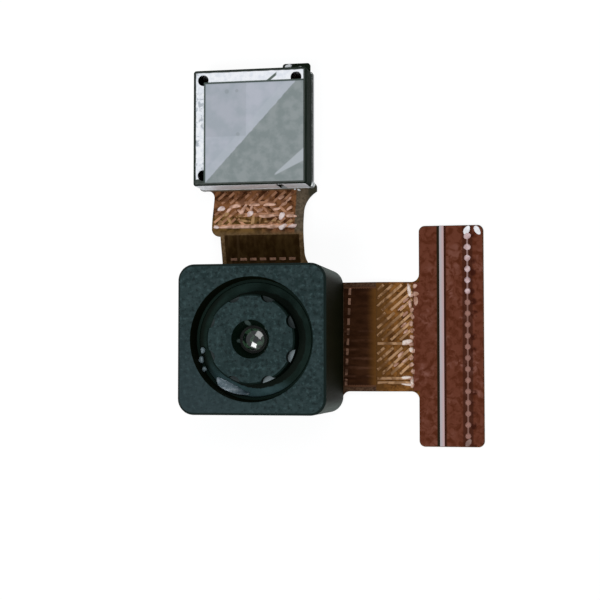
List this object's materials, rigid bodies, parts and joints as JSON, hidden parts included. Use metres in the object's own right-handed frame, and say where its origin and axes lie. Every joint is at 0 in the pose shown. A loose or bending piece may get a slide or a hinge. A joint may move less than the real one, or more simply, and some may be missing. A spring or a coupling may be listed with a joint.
{
  "type": "camera module",
  "caption": "Small fixed-focus camera module: square black lens body on a flex circuit, with a shielded processor head and a plug-in tail.",
  "frame": {"origin": "the lens axis at the underside of the base stiffener", "axes": "+Z along the lens axis out of the lens, +X towards the plug-in cross bar, +Y towards the shield can"},
  "size_m": [0.0131, 0.0177, 0.0052],
  "materials": {
    "black_plastic": "matt moulded",
    "barrel_plastic": "matt moulded",
    "flex_film": "amber polyimide",
    "shield_film": "dark satin film",
    "end_film": "red-brown film",
    "copper": "plated copper under film",
    "gold_plate": "gold plated",
    "white_ink": "printed ink",
    "can_metal": "tin plated sheet",
    "can_film_grey": "satin film",
    "steel": "rolled steel",
    "solder": "solder",
    "optical": "coated",
    "black_ring": "blackened",
    "blue_glass": "infrared filter",
    "silicon": "polished die",
    "adhesive": "cured adhesive",
    "ceramic_body": "fired ceramic",
    "chip_resin": "moulded resin"
  },
  "bodies": {
    "root": {"base_stiffener": "steel", "flex_circuit": "flex_film", "holder_glue": "adhesive", "lens_holder": "black_plastic", "lens_barrel": "barrel_plastic", "front_lens": "optical", "aperture_stop": "black_ring", "second_lens": "optical", "lens_spacer": "black_ring", "third_lens": "optical", "lens_retainer": "black_ring", "thread_lock": "adhesive", "ir_filter": "blue_glass", "image_sensor": "silicon", "die_attach": "adhesive", "bond_wires": "gold_plate", "board_capacitors": "ceramic_body", "head_stiffener": "steel", "shield_can": "can_metal", "can_solder": "solder", "can_film": "can_film_grey", "signal_processor": "chip_resin", "solder_balls": "solder", "head_capacitors": "ceramic_body", "contact_fingers": "gold_plate", "end_stiffener": "end_film", "insertion_mark": "white_ink", "end_vias": "copper", "tail_shield_film": "shield_film", "tongue_shield_film": "shield_film", "ground_stitches": "copper", "tail_traces": "copper", "tongue_traces": "copper"}
  },
  "joints": []
}
